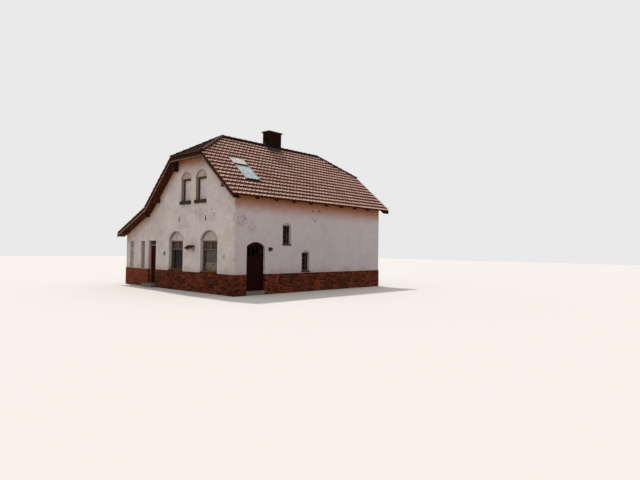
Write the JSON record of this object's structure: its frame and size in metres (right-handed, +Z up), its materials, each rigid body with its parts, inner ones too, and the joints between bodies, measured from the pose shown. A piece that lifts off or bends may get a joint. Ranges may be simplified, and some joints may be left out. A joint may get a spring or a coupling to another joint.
{
  "type": "railway station building",
  "caption": "Small station building with pale rendered walls, brick plinth, red pantile roof with half hips and a catslide, and an opening front door.",
  "frame": {"origin": "middle of the building's footprint box on the ground, under the roof's overall outline", "axes": "+Z up, -Y out of the front gable with the door, +X towards the taller side wall with the side door"},
  "size_m": [10.84, 11.28, 8.535],
  "materials": {
    "brick": "red-brown fired brick in lime mortar",
    "render": "weathered off-white lime render, flaking in places",
    "white_plaster": "smooth white plaster",
    "tiles": "dusty pink-red clay pantiles",
    "dark_tiles": "dark clay ridge tiles",
    "timber": "brown stained roof timber",
    "dark_paint": "dark red-brown painted boards",
    "trim_paint": "weathered tan painted strip",
    "stone": "dark grey stone",
    "concrete": "plain screed",
    "floor_boards": "plain floor boards",
    "window_paint": "grey-brown painted window frames",
    "glass": "clear pane",
    "roof_window_metal": "grey sheet metal",
    "pale_board": "pale grey-white painted board",
    "red_paint": "dark red paint",
    "frame_paint": "pale grey-green paint",
    "iron": "dark iron",
    "grey_box": "grey enamel",
    "zinc": "weathered zinc grey",
    "curtain_cloth": "grey-white net curtain"
  },
  "bodies": {
    "building": {"arch_panels": "white_plaster", "boarding_half_hips": "timber", "boarding_left": "timber", "boarding_right": "timber", "brick_sills": "brick", "chimney": "brick", "chimney_cap": "stone", "door_frame": "frame_paint", "door_steps": "stone", "floor_ground": "concrete", "floor_upper": "floor_boards", "front_gable": "render", "front_wall_left": "render", "front_wall_over_door": "render", "front_wall_right": "render", "gutter_left": "zinc", "hip_tiles": "dark_tiles", "left_wall": "render", "meter_box": "grey_box", "plinth_front": "brick", "plinth_rear": "brick", "plinth_sides": "brick", "purlins": "timber", "rafters": "timber", "rear_gable": "render", "rear_wall": "render", "ridge_tiles": "dark_tiles", "right_wall": "render", "roof_half_hips": "tiles", "roof_left": "tiles", "roof_right": "tiles", "roof_window_frames": "roof_window_metal", "side_door": "red_paint", "stone_sills": "stone", "tie_anchors": "iron", "verge_boards": "dark_paint", "verge_soffits": "timber", "verge_trims": "trim_paint", "wall_hood": "dark_paint", "wall_lamp": "iron", "window_boards": "pale_board", "window_curtain": "curtain_cloth", "window_frames": "window_paint", "window_glass": "glass"},
    "front_door": {"door_leaf": "red_paint"}
  },
  "joints": [
    {"name": "front_door_hinge", "type": "hinge", "parent": "building", "child": "front_door", "pos_m": [-2.475, -4.9815, 1.2], "axis": [0, 0, 1], "range_deg": [0, 95]}
  ]
}
